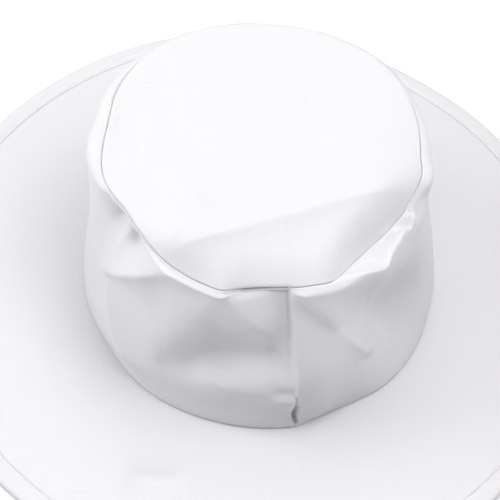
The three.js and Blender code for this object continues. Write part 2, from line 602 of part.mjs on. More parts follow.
// A solid of revolution whose half section changes with the azimuth. A loop section
// gives a ring; an open one starts and ends on the axis and gives a disc. A disc's
// quads are split along their other diagonal, so that its seam face stays parallel to
// the ring's.
function ringSolid(azimuths, section, place, isLoop) {
  const sections = azimuths.map((az) => section(az).map((point) => place(az, point)));
  const count = sections[0].length;
  const turns = azimuths.length;
  const positions = [];
  const triangles = [];
  const first = isLoop ? 0 : 1;
  const last = isLoop ? count : count - 1;
  const rows = last - first;
  for (const points of sections) {
    for (let j = first; j < last; j += 1) {
      positions.push(...points[j]);
    }
  }
  const at = (i, j) => (i % turns) * rows + (j % rows);
  const strips = isLoop ? rows : rows - 1;
  for (let i = 0; i < turns; i += 1) {
    for (let j = 0; j < strips; j += 1) {
      const corners = [at(i, j), at(i + 1, j), at(i + 1, j + 1), at(i, j + 1)];
      const [a, b, c, d] = isLoop ? corners : [...corners.slice(1), corners[0]];
      triangles.push(a, b, c, a, c, d);
    }
  }
  if (!isLoop) {
    const start = turns * rows;
    positions.push(...sections[0][0], ...sections[0][count - 1]);
    for (let i = 0; i < turns; i += 1) {
      triangles.push(start, at(i + 1, 0), at(i, 0));
      triangles.push(start + 1, at(i, rows - 1), at(i + 1, rows - 1));
    }
  }
  const geometry = new THREE.BufferGeometry();
  geometry.setAttribute("position", new THREE.Float32BufferAttribute(positions, 3));
  geometry.setIndex(triangles);
  geometry.computeVertexNormals();
  return geometry;
}

function fabric(name, geometry) {
  const material = new THREE.MeshStandardMaterial({
    color: FABRIC_WHITE,
    roughness: 0.9,
    metalness: 0,
  });
  const mesh = new THREE.Mesh(geometry, material);
  mesh.name = name;
  return mesh;
}

const hat = new THREE.Group();
const crown = crownAzimuths();
const round = brimAzimuths();
hat.add(fabric("crown_tip", ringSolid(crown, tipSection, crownPlace, false)));
hat.add(fabric("side_band", ringSolid(crown, bandSection, crownPlace, true)));
hat.add(fabric("brim", ringSolid(round, brimSection, brimPlace, true)));
hat.add(fabric("rim_hem", ringSolid(round, hemSection, brimPlace, true)));

export default hat;
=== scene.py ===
import math

import bpy
import numpy as np
from mathutils import Matrix, Vector


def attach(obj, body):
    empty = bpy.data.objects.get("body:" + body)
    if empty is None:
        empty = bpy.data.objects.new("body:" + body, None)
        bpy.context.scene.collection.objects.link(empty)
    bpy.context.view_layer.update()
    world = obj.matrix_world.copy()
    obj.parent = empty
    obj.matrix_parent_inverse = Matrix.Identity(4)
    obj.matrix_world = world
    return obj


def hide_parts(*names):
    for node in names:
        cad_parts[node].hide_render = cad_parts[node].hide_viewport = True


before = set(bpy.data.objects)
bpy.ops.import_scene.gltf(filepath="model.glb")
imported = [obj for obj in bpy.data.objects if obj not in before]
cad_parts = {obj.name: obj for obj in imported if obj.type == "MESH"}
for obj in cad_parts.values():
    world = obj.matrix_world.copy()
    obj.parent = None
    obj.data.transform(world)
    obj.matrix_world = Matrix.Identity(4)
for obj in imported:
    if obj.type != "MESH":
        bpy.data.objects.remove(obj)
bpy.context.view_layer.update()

# Shape sizes are in millimetres and azimuths in degrees, counted from +X towards +Y.
MM = 0.001

# Brim and hem: insets count from the rim inwards. The hem rests on its flat underside, and its
# pocket is the slit that takes the brim's thinner edge. The brim's waves begin and end at these
# shares of the way from the rim to the crown.
RIM_RADIUS = 180.0
RIM_HEIGHT = 1.95
RIM_SLOPE_SHARE = 0.85
HEM_WIDTH = 10.0
HEM_HALF_THICKNESS = 1.9
HEM_FLAT_INSET = 2.6
HEM_FLAT_WIDTH = 3.4
HEM_FOLD_ROUNDING = 0.85
HEM_FOLD_WIDTH = 2.0
HEM_EDGE_ROUNDING = 2.4
HEM_EDGE_TURN = 80
HEM_TOP_STEP_POWER = 1.3
HEM_POCKET_INSET = 1.9
HEM_POCKET_ROOM = 0.3
BRIM_HALF_THICKNESS = 1.0
BRIM_HALF_IN_HEM = 0.5
BRIM_EDGE_INSET = 2.2
BRIM_UNDER_CROWN = 0.6
BRIM_STEP_START = 0.15
BRIM_STEP_END = 0.05
BRIM_WAVES_BEGIN = (0.15, 0.35)
BRIM_WAVES_END = (0.75, 0.95)

# The hem's line of stitches: its distance from the hem's inner fold, how deep and wide it
# sinks, how much the sinking varies from stitch to stitch, and the form of one stitch
STITCH_INSET = 2.0
STITCH_SINK = 0.35
STITCH_SPREAD = 0.7
STITCH_BEAD = 0.12
STITCH_PITCH = 2.8
STITCH_LENGTH = 2.3
STITCH_WIDTH = 0.34
STITCH_ARCH = 0.16
STITCH_BURIED = 0.12
STITCH_END_ROUNDING = 0.96
STITCH_RINGS = 7
STITCH_SIDES = 6

# The brim's seam allowance, which stands up inside the crown's foot as a low collar
COLLAR_HEIGHT = 2.5
COLLAR_THICKNESS = 1.0
COLLAR_GAP = 0.35
COLLAR_BEND_OUT = 0.25
COLLAR_BEND_LOW = 0.15
COLLAR_BEND_HIGH = 0.8

# Crown: a centre is x, y and height, and a tilt is the rise per millimetre along X and Y
BASE_RADIUS = 95.0
BASE_CENTRE = (5.4, 1.5, 15.3)
BASE_TILT = (-0.014, 0.038)
TOP_RADIUS = 80.6
TOP_CENTRE = (1.9, 0.5, 126.6)
TOP_TILT = (0.019, 0.057)
CLOTH = 0.8

# Crown top: its dome, the rounding and the straight strip at its edge, the powers with which
# its sinking grows and its folds end towards the edge, the facet where the edge dips, and the
# steepest slope at the edge, found in a few rounds
TIP_RISE = 2.5
TIP_EDGE_ROUNDING = 1.6
TIP_EDGE_FLAT = 0.8
TIP_DROP_POWER = 4
TIP_FOLD_END_POWER = 14
TIP_FACET_WIDTH = 13.0
TIP_FACET_SOFTNESS = 1.5
TIP_FACET_POWER = 2.0
TIP_STEEPEST = 1.6
TIP_SLOPE_ROUNDS = 4

# Top seam: how its two edges turn in, how far it gapes where the side band hardly rolls, and
# how far the wall may stand in under it there
SEAM_ROUNDING = 0.9
SEAM_ALLOWANCE = 4.0
SEAM_GAP = 0.12
SEAM_OPEN_GAP = 1.1
SEAM_SETBACK = 1.0
SEAM_CLOSED_ROLL = 0.8
SEAM_OVERHANG = 6.0
SEAM_OVERHANG_START = 2.5
SEAM_OVERHANG_FADE = 5.0

# Shoulder of the side band: the width of a full roll, how far such a roll stands outside the
# seam, how far below the seam the wall ends, and how the curve between the two is pulled
FULL_ROLL = 6.0
ROLL_BACKING = 2.4
ROLL_DROP = 1.5
ROLL_DROP_SHARE = 0.6
ROLL_PULL = 0.42
SHOULDER_EDGE_PULL = 0.95
SHOULDER_SEAM_PULL = -0.25
SHOULDER_CREASE_POWER = 0.7

# Vertical seam of the side band: azimuth, and depth and width in degrees of its groove
SEAM_AZIMUTH = -75.5
SEAM_GROOVE_DEPTH = 0.45
SEAM_GROOVE_WIDTH = 0.35

# The pucker at the foot of the vertical seam: heights, how far its lip bows to the left, how
# deep it is, and in degrees how wide the lip is, how far it stays deep and where it has faded
PUCKER_FOOT = 14.0
PUCKER_TOP = 34.0
PUCKER_BOW = 1.3
PUCKER_DEPTH = 5.0
PUCKER_LIP = 0.25
PUCKER_FLAT = 0.9
PUCKER_FADE = 2.2

# The side band's foot: where it starts above the brim, and how far and how high it tucks in
FOOT_START = 0.3
FOOT_TUCK = 0.9
FOOT_TUCK_HEIGHT = 1.6

# Folds: between which heights above the brim they grow, the radius on which their azimuths
# are taken as lengths, how far their ends fade beyond and within the line as shares of it,
# and where the folds left of the vertical seam end, in degrees from it
FOLD_FREE_HEIGHT = 6.0
FOLD_FULL_HEIGHT = 20.0
FOLD_RADIUS = 90.0
FOLD_END_BEYOND = 0.15
FOLD_END_WITHIN = 0.3
LEFT_FOLDS_END = (-0.45, 0.1)

# Steps along the sections, closer together where the form turns
WALL_STEPS = np.concatenate([np.linspace(0, 0.03, 5), np.linspace(0.045, 1, 72)])
ROLL_STEPS = np.linspace(0, 1, 15)[1:-1]
EDGE_STEPS = (0, 0.25, 0.5, 0.75, 1)
TIP_RINGS = np.concatenate([np.linspace(0.02, 0.74, 32), np.linspace(0.75, 1, 40)])
TIP_EDGE_STEPS = np.linspace(1, 0, 7)[:-1]
BRIM_STEPS = np.linspace(0, 1, 50)
HEM_TOP_STEPS = np.linspace(0, 1, 26) ** HEM_TOP_STEP_POWER
HEM_EDGE_STEPS = np.linspace(HEM_EDGE_TURN, -HEM_EDGE_TURN, 12)

# Outline of the rim: azimuth, how far it stands out of its circle
RIM_OUTLINE = {
    "az": [-135, -90, -60, -41, -20, 0, 45, 58, 75, 90, 110, 135, 180],
    "out": [-1.0, 0, 1.0, 2.0, 0.6, 0, -1.4, -2.2, -0.6, 0, 0.7, -0.5, 0],
}

# Outline of the seam between crown and brim
BASE_OUTLINE = {
    "az": [-166, -146, -127, -100, -80, -75, -69, -62, -54, -42, -22, -12, 5, 50, 90, 135, 180],
    "out": [0.2, -1.3, 0.6, 0.4, 1.0, 1.1, -0.9, -2.1, -1.6, 0.5, 0.4, -0.7, 0.7, 0.4, -0.6, 0.5, -0.2],
}

# The seam between crown top and side: azimuth, how far it stands out of its circle, how
# far it sinks below its plane, how wide the side band's shoulder rolls outside it, how far
# the shoulder rises above the seam, how much of the sinking is a steep dip at the edge
TOP_OUTLINE_ROWS = [
    (-179, 0, 0, 9, 0, 0),
    (-171, 0.6, 0, 6.5, 0, 0),
    (-164, 0.4, 0.2, 3.6, 0, 0),
    (-158, -1.5, 0.4, 1.4, 0, 0),
    (-150, -4.3, 0.8, 0.9, 0, 0),
    (-141, -4.4, 1.6, 0.9, 0, 0),
    (-134, -3.8, 2.8, 0.9, 0, 1.5),
    (-126, -2.8, 4.4, 1.7, 0, 3),
    (-117, -2.5, 6, 3.0, 0.3, 4),
    (-109, -2.4, 7.2, 3.2, 0.3, 3),
    (-101, -2.2, 8, 2.4, 0, 2),
    (-97, -4.6, 9, 0.6, 0, 2.5),
    (-93, -6.6, 9.6, 0, 0, 3),
    (-86, -7.8, 9.8, 0, 0, 3),
    (-77, -6.8, 9.4, 0, 0, 3),
    (-73, -5.0, 8.4, 2.8, 0, 2.5),
    (-67, -3.5, 7.5, 4.2, 0, 2),
    (-61, -2.0, 7.4, 4.6, 0, 3),
    (-55, -4.2, 8.5, 8, 3, 5),
    (-49, -7.0, 10.5, 12, 7, 8),
    (-41, -8.6, 12, 15.5, 9.5, 10),
    (-36, -8.4, 12.2, 13.5, 9.5, 10.5),
    (-31, -7.4, 12, 12, 9, 10.5),
    (-25, -6.0, 11.5, 10.5, 8, 9.5),
    (-20, -4.2, 10, 9, 6, 8.5),
    (-18, -3.2, 9, 6.5, 3.5, 7.5),
    (-15.5, -2.2, 7.6, 3.4, 0, 6.5),
    (-12, -0.8, 5.6, 2.6, 0, 5),
    (-9, 0.4, 3.8, 3.2, 0, 3.4),
    (-6.5, 1.2, 2.4, 5.2, 0.8, 2),
    (-3, 1.5, 1.2, 6.2, 0.6, 1),
    (3, 0.6, 0, 6, 0, 0),
    (22, 3.0, 0, 3.6, 0, 0),
    (40, 4.8, 0, 2, 0, 0),
    (62, 2.7, 0, 1.8, 0, 0),
    (85, 0.4, 0, 2, 0, 0),
    (102, 1.4, 0, 1.9, 0, 0),
    (130, 4.2, 0, 2.3, 0, 0),
    (152, 3.6, 0, 6, 0, 0),
    (170, -0.2, 0, 9, 0, 0),
]

# Sections of the side band: azimuth, distance of the cloth from the crown's axis at each of
# the heights of SECTION_HEIGHTS
SECTION_HEIGHTS = (25, 38, 46, 54, 63, 75, 92, 109)
WALL_SECTIONS = [
    (-178, 95, 93.7, 92.6, 91.4, 90.2, 89.3, 89, 88.8),
    (-165, 94.5, 92.4, 91.1, 89.9, 88.7, 87.8, 87.2, 86),
    (-156, 94, 91.4, 89.8, 88.4, 87, 85.5, 83.7, 82),
    (-148, 94, 91.4, 89.8, 88.4, 87.2, 86.5, 85.3, 79),
    (-140, 94, 92, 90.6, 89.4, 88, 86.8, 87, 79.5),
    (-132, 94.5, 92.8, 91.6, 90.4, 89, 87.5, 86.6, 81.5),
    (-124, 94.5, 93.3, 92.4, 91.6, 90.7, 89.2, 85.7, 81),
    (-117, 94, 92.3, 90, 89.5, 90, 90, 86.2, 81),
    (-110, 93.5, 92, 88.8, 85.5, 85.4, 87, 85.8, 80.8),
    (-104, 93.5, 92.6, 90.8, 84.5, 80.3, 81.2, 83.2, 81.4),
    (-98, 93.5, 93, 91.8, 85, 78.8, 78.8, 82.4, 78.8),
    (-92, 94, 93.3, 92.6, 88, 79, 78.4, 82.2, 76.4),
    (-86, 94.5, 94, 93.4, 89, 79.6, 79.3, 81, 74.6),
    (-80, 95, 94.6, 94.2, 90.5, 82.2, 81.3, 79.3, 73.8),
    (-74.5, 96, 96.6, 96.6, 96, 94, 90, 84.5, 78),
    (-68, 97, 98.5, 99, 98.8, 97.5, 93.5, 87, 81.5),
    (-62, 95.3, 96.3, 96.8, 96.5, 95.3, 92.5, 88.3, 83.5),
    (-56, 94, 94, 93.8, 92.8, 91.3, 88.3, 83.5, 83.5),
    (-50, 93, 91.5, 90.5, 89, 87, 83.5, 80, 84),
    (-44, 92, 87.5, 85.5, 83.3, 80.8, 78, 79.5, 85),
    (-38, 90.8, 84.5, 80.5, 77.5, 76.2, 77, 81.5, 86),
    (-32, 90.5, 82.7, 78.8, 76.4, 75.6, 77.5, 82.5, 85.5),
    (-26, 91.5, 85.5, 82, 79.7, 78.7, 80, 83.8, 85),
    (-20, 93, 89, 86.7, 85.2, 84.4, 84.6, 85, 85),
    (-14, 94.5, 92.2, 91, 90, 89.5, 89.3, 87.5, 86),
    (-6, 95, 93.6, 92.9, 92.3, 91.6, 90.4, 88, 86.5),
    (20, 95, 94.1, 93, 91.9, 90.4, 88.6, 87.2, 87),
    (60, 95, 94.1, 92.8, 91.2, 89.2, 86.8, 85.2, 85),
    (85, 94.5, 93.2, 91.8, 90.2, 88, 85.2, 83.2, 83),
    (110, 95, 94.1, 93.1, 91.7, 89.7, 87.1, 85.2, 84.8),
    (145, 95, 94.6, 93.6, 92.6, 91.5, 90.1, 89.5, 89.5),
]

# Folds of the side band: from azimuth and height to azimuth and height, sideways bow of
# the line, how far it stands out, how far it fades to the left and to the right of the
# line (seen from outside, walking along it), and how rounded its crest is
WALL_FOLDS = [
    (-158, 60, -119, 117, 5, 4.8, 8, 5.5, 0.8),
    (-128, 20, -151, 64, 2, 4.0, 14, 7, 1.2),
    (-149, 133, -155, 107, 0, -7, 4.5, 4.5, 2.5),
    (-138, 131, -142, 107, 0, -6, 3.5, 3.5, 2),
    (-145, 118, -147, 98, 0, 1.8, 4, 4, 2),
    (-102, 113, -77, 66, 4, 2.2, 8, 8, 1.4),
    (-74.8, 80, -74.6, 30, 0, 0.5, 0.8, 0.8, 0.3),
    (-73, 116, -44, 37, 2, 3.6, 9, 5, 0.8),
    (-74, 108, -55, 76, 0, -4.2, 5.5, 9, 2),
    (-52, 52, -44, 37, 0, -1.6, 2, 5, 0.8),
    (2, 90, 40, 84, 4, -2.5, 12, 12, 4),
    (44, 108, 62, 44, 5, 2.2, 12, 16, 4),
    (74, 58, 112, 74, 6, -3.0, 16, 12, 4),
    (118, 100, 134, 40, -4, 2.2, 12, 14, 4),
    (146, 98, 176, 92, 3, -1.6, 10, 14, 4),
]

# Folds of the cloth that end at the vertical seam, on its left side only
LEFT_SEAM_FOLDS = [
    (-76.1, 128, -76.4, 56, 0, -3.6, 0.8, 4.5, 0.4),
    (-75, 66, -84, 62, -1, -1.0, 2.5, 3, 1),
    (-83, 44, -71, 46, 0, -1.8, 2.5, 2.5, 0.8),
    (-84, 38, -70, 41, 0, 1.8, 3, 5, 1.2),
]

# Creases across the raised shoulder at the front right: azimuth at its outer edge and at
# the seam, width in degrees, height
SHOULDER_CREASES = [
    (-45, -57, 4, 2.4),
    (-35, -43, 4, -2.6),
    (-27, -29, 1.8, 2.4),
    (-23, -24, 1.5, -2.6),
    (-19.5, -20.5, 1.2, 2.2),
    (-16.8, -17, 0.9, -2.6),
]

# Folds of the crown top, from x, y to x, y, in the same columns as the side band's
TIP_FOLDS = [
    (-92, -84, 106, -4, 1, 5.2, 24, 10, 0.4),
    (-44, -74, -24, -28, 5, 3.2, 7, 18, 0.8),
    (-60, -44, -40, -28, 0, -1.8, 10, 12, 4),
    (-78, 14, -60, 12, 0, -1.6, 8, 8, 3),
    (-52, -8, -22, 46, 6, -0.9, 20, 20, 5),
    (34, 20, 70, 4, 0, 0.8, 18, 14, 4),
]

# Slow waves of the brim, in the same columns
BRIM_FOLDS = [
    (-58, -124, -30, -125, 0, -2.6, 4, 12, 2),
    (-120, -90, -150, -20, -8, 0.8, 18, 18, 5),
    (110, -70, 150, 0, -8, -0.7, 20, 20, 5),
    (-60, 130, 60, 136, 6, 0.8, 16, 16, 5),
]


def smooth(x, low, high):
    """From 0 at low to 1 at high, with no corner at either end."""
    t = np.clip((x - low) / (high - low), 0, 1)
    return t * t * (3 - 2 * t)


def signed_turn(degrees):
    """The same azimuth between -180 and 180 degrees."""
    return (degrees + 180) % 360 - 180


def around(az_rows, values):
    """A smooth closed curve through a table's column, as a function of azimuth."""
    order = np.argsort(az_rows)
    knots = np.array(az_rows, float)[order]
    values = np.array(values, float)[order]
    spans = (np.roll(knots, -1) - knots) % 360
    slopes = (np.roll(values, -1) - np.roll(values, 1)) / (spans + np.roll(spans, 1))

    def curve(az):
        az = signed_turn(np.asarray(az, float))
        i = (np.searchsorted(knots, az, side="right") - 1) % len(knots)
        j = (i + 1) % len(knots)
        t = ((az - knots[i]) % 360) / spans[i]
        a, b = values[i], values[j]
        ta, tb = slopes[i] * spans[i], slopes[j] * spans[i]
        return (
            a * (2 * t**3 - 3 * t**2 + 1)
            + b * (3 * t**2 - 2 * t**3)
            + ta * (t**3 - 2 * t**2 + t)
            + tb * (t**3 - t**2)
        )

    return curve


rim_out = around(RIM_OUTLINE["az"], RIM_OUTLINE["out"])
base_out = around(BASE_OUTLINE["az"], BASE_OUTLINE["out"])
top_az, top_out, top_down, top_roll, top_rise, top_dip = zip(*TOP_OUTLINE_ROWS)
seam_out = around(top_az, top_out)
seam_down = around(top_az, top_down)
seam_roll = around(top_az, top_roll)
seam_rise = around(top_az, top_rise)
seam_dip = around(top_az, top_dip)
section_az, *section_columns = zip(*WALL_SECTIONS)
section_radius = [around(section_az, column) for column in section_columns]


def fold_at(x, y, x0, y0, x1, y1, bow, height, left, right, rounding):
    """Height of one fold at x, y on a flat pattern."""
    length = math.hypot(x1 - x0, y1 - y0)
    ux, uy = (x1 - x0) / length, (y1 - y0) / length
    share = ((x - x0) * ux + (y - y0) * uy) / length
    across = (y - y0) * ux - (x - x0) * uy - bow * (1 - (2 * share - 1) ** 2)
    reach = np.where(across > 0, left, right)
    ends = smooth(share, -FOLD_END_BEYOND, FOLD_END_WITHIN)
    ends = ends * (1 - smooth(share, 1 - FOLD_END_WITHIN, 1 + FOLD_END_BEYOND))
    fall = (np.hypot(across, rounding) - rounding) / reach
    return height * ends * np.exp(-fall)


def plan_folds(rows, x, y):
    """Sum of the folds of a panel that is seen from above."""
    return sum(fold_at(x, y, *row) for row in rows)


def plane_height(radius, az, centre, tilt):
    """Height of a tilted plane at a radius and azimuth round its centre."""
    dx = radius * np.cos(np.radians(az))
    dy = radius * np.sin(np.radians(az))
    return centre[2] + tilt[0] * dx + tilt[1] * dy


def rim_radius(az):
    return RIM_RADIUS + rim_out(az)


def base_radius(az):
    return BASE_RADIUS + base_out(az)


def base_height(az):
    return plane_height(base_radius(az), az, BASE_CENTRE, BASE_TILT)


def folds_round(rows, az, z):
    """Sum of the folds of a panel that goes round the crown."""
    arc = math.radians(1) * FOLD_RADIUS
    total = 0
    for az0, z0, az1, z1, *form in rows:
        x = signed_turn(az - az0) * arc
        x1 = signed_turn(az1 - az0) * arc
        total = total + fold_at(x, z, 0, z0, x1, z1, *form)
    return total


def wall_folds(az, z):
    """How far the side band's folds stand out, growing from nothing at the brim."""
    left = 1 - smooth(signed_turn(az - SEAM_AZIMUTH), *LEFT_FOLDS_END)
    total = folds_round(WALL_FOLDS, az, z) + left * folds_round(LEFT_SEAM_FOLDS, az, z)
    return total * smooth(z - base_height(az), FOLD_FREE_HEIGHT, FOLD_FULL_HEIGHT)


def shoulder_creases(az, share):
    """Height of the shoulder's creases, from its outer edge (0) to the seam (1)."""
    total = 0
    for outer, inner, width, height in SHOULDER_CREASES:
        off = signed_turn(az[:, None] - outer - (inner - outer) * share)
        total = total + height * np.exp(-((off / width) ** 2))
    return total * np.sin(math.pi * share) ** SHOULDER_CREASE_POWER


def through(heights, radii, z):
    """A smooth line through the radii of each section, read at the heights z."""
    spans = np.diff(heights, axis=1)
    rises = np.diff(radii, axis=1)
    inner = (rises[:, 1:] + rises[:, :-1]) / (spans[:, 1:] + spans[:, :-1])
    slopes = np.concatenate([np.zeros_like(rises[:, :1]), inner, inner[:, -1:]], 1)
    i = (z[:, :, None] >= heights[:, None, :]).sum(2) - 1
    i = np.clip(i, 0, spans.shape[1] - 1)

    def pick(rows, j):
        return np.take_along_axis(rows, j, 1)

    span = pick(spans, i)
    t = (z - pick(heights, i)) / span
    return (
        pick(radii, i) * (2 * t**3 - 3 * t**2 + 1)
        + pick(radii, i + 1) * (3 * t**2 - 2 * t**3)
        + pick(slopes, i) * span * (t**3 - 2 * t**2 + t)
        + pick(slopes, i + 1) * span * (t**3 - t**2)
    )


def foot_pucker(off_seam, z):
    """Depth of the curled slot where the vertical seam meets the brim."""
    share = np.clip((z - PUCKER_FOOT) / (PUCKER_TOP - PUCKER_FOOT), 0, 1)
    arch = np.sin(math.pi * share)
    inside = off_seam + PUCKER_BOW * arch
    into = smooth(inside, 0, PUCKER_LIP)
    fade = 1 - smooth(inside, PUCKER_LIP + PUCKER_FLAT * arch, PUCKER_FADE)
    return PUCKER_DEPTH * np.sqrt(arch) * into * fade


class Seam:
    """The top seam at each azimuth, with the direction in which its edges turn in."""

    def __init__(self, az):
        self.r = TOP_RADIUS + seam_out(az)
        self.z = plane_height(self.r, az, TOP_CENTRE, TOP_TILT) - seam_down(az)
        self.wide = np.maximum(0, seam_roll(az))
        self.rise = np.maximum(0, seam_rise(az))
        self.open = SEAM_OPEN_GAP * (1 - np.clip(self.wide / SEAM_CLOSED_ROLL, 0, 1)) ** 2
        self.turn = math.pi / 2 * (1 - np.clip(self.wide / FULL_ROLL, 0, 1))
        self.inward = (-np.sin(self.turn), -np.cos(self.turn))
        self.outward = (np.cos(self.turn), -np.sin(self.turn))

    def edge(self, side, end):
        """From the end of the seam allowance round to the outer surface, turning by end.

        Side 1 is the side band's edge and side -1 the crown top's.
        """
        gap = SEAM_GAP / 2 + np.maximum(0, side) * self.open
        profile = [(SEAM_ROUNDING + SEAM_ALLOWANCE, gap)]
        for share in EDGE_STEPS:
            along = SEAM_ROUNDING * (1 - np.sin(end * share))
            profile.append((along, gap + SEAM_ROUNDING * (1 - np.cos(end * share))))
        r = [self.r + self.inward[0] * a + side * self.outward[0] * b for a, b in profile]
        z = [self.z + self.inward[1] * a + side * self.outward[1] * b for a, b in profile]
        return np.stack(r, 1), np.stack(z, 1)


def offset(r, z, thickness):
    """The same section lines, moved to their left by a thickness."""
    dr = np.gradient(r, axis=1)
    dz = np.gradient(z, axis=1)
    length = np.hypot(dr, dz)
    return r - dz / length * thickness, z + dr / length * thickness


def wall_lines(az, shares, seam):
    """The side band's outer surface from its foot (share 0) to its shoulder (share 1)."""
    low = (base_height(az) + FOOT_START)[:, None]
    high = (seam.z + seam.rise - ROLL_DROP - ROLL_DROP_SHARE * seam.wide)[:, None]
    z = low + (high - low) * shares[None, :]
    top = (seam.r + seam.wide - SEAM_SETBACK * seam.open)[:, None]
    base = base_radius(az)[:, None]
    heights = np.broadcast_to(SECTION_HEIGHTS, (len(az), len(SECTION_HEIGHTS)))
    radii = np.stack([radius(az) for radius in section_radius], 1)
    heights = np.concatenate([low, heights, high], 1)
    radii = np.concatenate([base, radii, top], 1)
    r = through(heights, radii, z) + wall_folds(az[:, None], z)
    backing = ROLL_BACKING * np.clip(seam.wide / FULL_ROLL, 0, 1) - SEAM_SETBACK * seam.open
    below = (seam.z[:, None] - SEAM_OVERHANG_START - z) / SEAM_OVERHANG_FADE
    below = np.clip(below, 0, 1)
    room = SEAM_OVERHANG * below * (seam.turn / (math.pi / 2))[:, None]
    r = np.maximum(r, (seam.r + backing)[:, None] - room)
    off_seam = signed_turn(az[:, None] - SEAM_AZIMUTH)
    r = r - SEAM_GROOVE_DEPTH * np.exp(-((off_seam / SEAM_GROOVE_WIDTH) ** 2))
    r = r - foot_pucker(off_seam, z)
    tuck = 1 - np.clip((z - low) / FOOT_TUCK_HEIGHT, 0, 1)
    return r - FOOT_TUCK * tuck**2, z


def bezier(points, t):
    """A curve from the first point to the last at each azimuth, drawn by the two between."""
    a, b, c, d = (np.asarray(p)[:, None] for p in points)
    return a * (1 - t) ** 3 + 3 * b * t * (1 - t) ** 2 + 3 * c * t**2 * (1 - t) + d * t**3


def band_outer(az):
    """The side band's outer surface from its foot over the shoulder into the top seam."""
    seam = Seam(az)
    wall_r, wall_z = wall_lines(az, WALL_STEPS, seam)
    edge_r, edge_z = seam.edge(1, np.full(len(az), math.pi / 2))
    edge_r, edge_z = edge_r[:, ::-1], edge_z[:, ::-1]
    up_r = wall_r[:, -1] - wall_r[:, -2]
    up_z = wall_z[:, -1] - wall_z[:, -2]
    rise = np.hypot(up_r, up_z)
    span = np.hypot(edge_r[:, 0] - wall_r[:, -1], edge_z[:, 0] - wall_z[:, -1])
    pull = ROLL_PULL * span
    roll_r = bezier(
        (
            wall_r[:, -1],
            wall_r[:, -1] + up_r / rise * pull,
            edge_r[:, 0] + seam.outward[0] * pull,
            edge_r[:, 0],
        ),
        ROLL_STEPS,
    )
    roll_z = bezier(
        (
            wall_z[:, -1],
            wall_z[:, -1] + up_z / rise * pull + SHOULDER_EDGE_PULL * seam.rise,
            edge_z[:, 0] + seam.outward[1] * pull + SHOULDER_SEAM_PULL * seam.rise,
            edge_z[:, 0],
        ),
        ROLL_STEPS,
    )
    roll_z = roll_z + shoulder_creases(az, ROLL_STEPS)
    r = np.concatenate([wall_r, roll_r, edge_r], 1)
    z = np.concatenate([wall_z, roll_z, edge_z], 1)
    return r, z


def band_section(az):
    """The side band's cloth: up its outer surface and back down its inner one."""
    r, z = band_outer(az)
    inner_r, inner_z = offset(r, z, CLOTH)
    return np.concatenate([r, inner_r[:, ::-1]], 1), np.concatenate([z, inner_z[:, ::-1]], 1)


def tip_lines(az, seam, fall):
    """The crown top from its middle to its edge, and how many of its points lie inside the edge.

    Fall is the slope at which the panel meets the rounding of the seam.
    """
    lean = np.arctan(fall)
    edge_r, edge_z = seam.edge(-1, math.pi / 2 - np.maximum(0, lean - seam.turn))
    edge_r, edge_z = edge_r[:, ::-1], edge_z[:, ::-1]
    turn = np.maximum(seam.turn, lean)[:, None]
    left = turn - (turn - lean[:, None]) * TIP_EDGE_STEPS
    round_r = edge_r[:, :1] - TIP_EDGE_ROUNDING * (np.sin(turn) - np.sin(left))
    round_r = round_r - TIP_EDGE_STEPS * TIP_EDGE_FLAT
    round_z = edge_z[:, :1] + TIP_EDGE_ROUNDING * (np.cos(left) - np.cos(turn))
    round_z = round_z + TIP_EDGE_STEPS * TIP_EDGE_FLAT * fall[:, None]
    end_r = round_r[:, 0] - TIP_EDGE_FLAT
    end_z = round_z[:, 0] + TIP_EDGE_FLAT * fall
    x = TIP_RINGS * (end_r * np.cos(np.radians(az)))[:, None]
    y = TIP_RINGS * (end_r * np.sin(np.radians(az)))[:, None]
    plane = TOP_CENTRE[2] + TOP_TILT[0] * x + TOP_TILT[1] * y
    dome = TIP_RISE * (1 - TIP_RINGS**2)
    folds = plan_folds(TIP_FOLDS, x, y) * (1 - TIP_RINGS**TIP_FOLD_END_POWER)
    drop = (end_z - plane_height(end_r, az, TOP_CENTRE, TOP_TILT))[:, None]
    top_r = TIP_RINGS * end_r[:, None]
    dip = np.maximum(0, seam_dip(az))[:, None]
    beyond = TIP_FACET_WIDTH - end_r[:, None] * (1 - TIP_RINGS)
    facet = (beyond + np.hypot(beyond, TIP_FACET_SOFTNESS)) / 2 / TIP_FACET_WIDTH
    drop = (drop + dip) * TIP_RINGS**TIP_DROP_POWER - dip * facet**TIP_FACET_POWER
    top_z = plane + dome + folds + drop
    r = np.concatenate([top_r, round_r, edge_r], 1)
    z = np.concatenate([top_z, round_z, edge_z], 1)
    return r, z, top_r.shape[1]


def tip_section(az):
    """The crown top's cloth: underside from the middle out, and back over the upper side.

    Each round measures the slope at which the panel reaches its edge and starts anew with it.
    """
    seam = Seam(az)
    fall = np.zeros(len(az))
    for _ in range(TIP_SLOPE_ROUNDS):
        r, z, end = tip_lines(az, seam, fall)
        slope = (z[:, end - 3] - z[:, end - 1]) / (r[:, end - 1] - r[:, end - 3])
        fall = np.clip(slope, 0, TIP_STEEPEST)
    under_r, under_z = offset(r, z, -CLOTH)
    under_r[:, 0] = r[:, 0]
    under_z[:, 0] = z[:, 0] - CLOTH
    return np.concatenate([under_r, r[:, ::-1]], 1), np.concatenate([under_z, z[:, ::-1]], 1)


